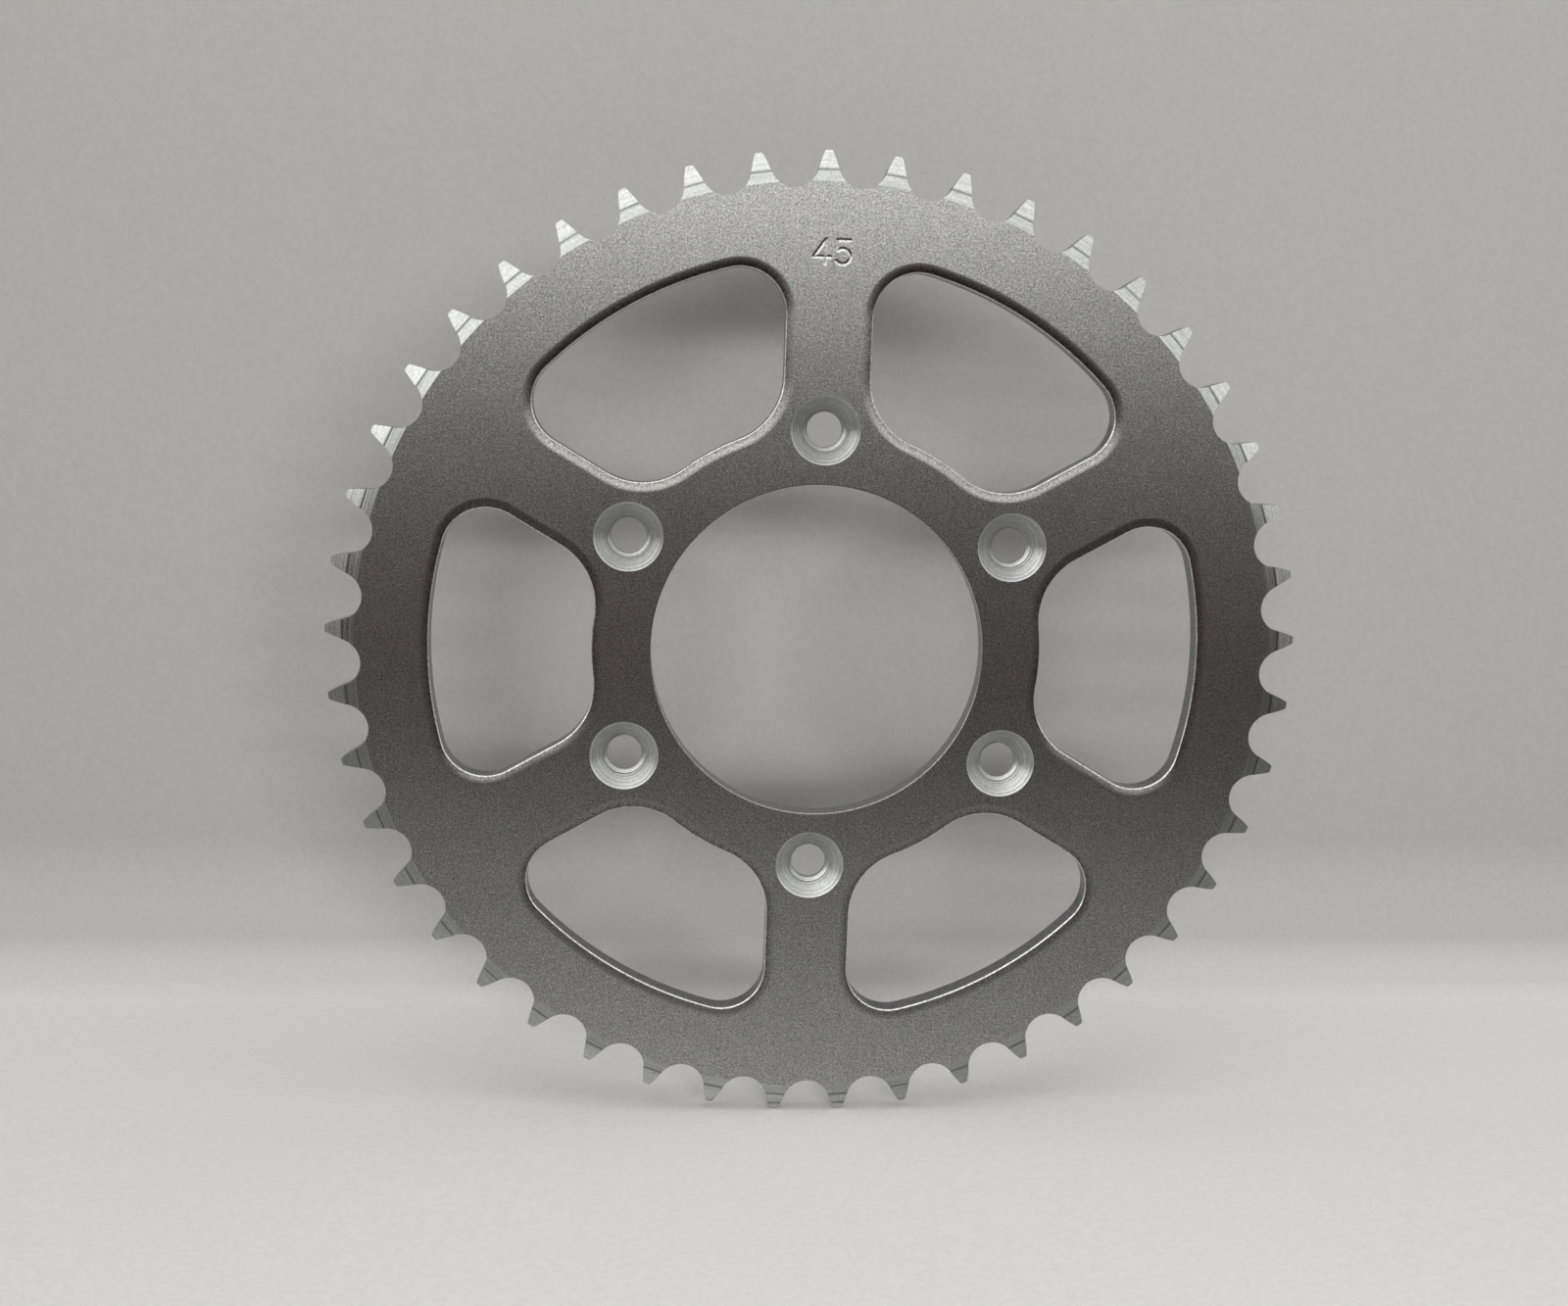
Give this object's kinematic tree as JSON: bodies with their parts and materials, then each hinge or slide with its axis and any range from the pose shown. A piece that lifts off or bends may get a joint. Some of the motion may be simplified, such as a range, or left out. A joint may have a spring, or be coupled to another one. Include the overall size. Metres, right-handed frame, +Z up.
{
  "type": "rear sprocket",
  "caption": "Flat steel chain sprocket for a motorcycle rear wheel: toothed rim joined by spokes to a hub ring with a plain bore and countersunk bolt holes.",
  "frame": {"origin": "on the axis of the hub bore, half way through the plate's thickness", "axes": "+Y along the bore axis, out of the side that sits against the hub; -Y out of the countersunk and stamped front; +Z up through the bolt hole below the stamped number; +X to the right seen from the front"},
  "size_m": [0.2343, 0.0058, 0.2342],
  "materials": {
    "zinc_plated_steel": "matte blasted and zinc plated face, with bright machined tooth relief and countersinks"
  },
  "bodies": {
    "root": {"sprocket_plate": "zinc_plated_steel"}
  },
  "joints": []
}
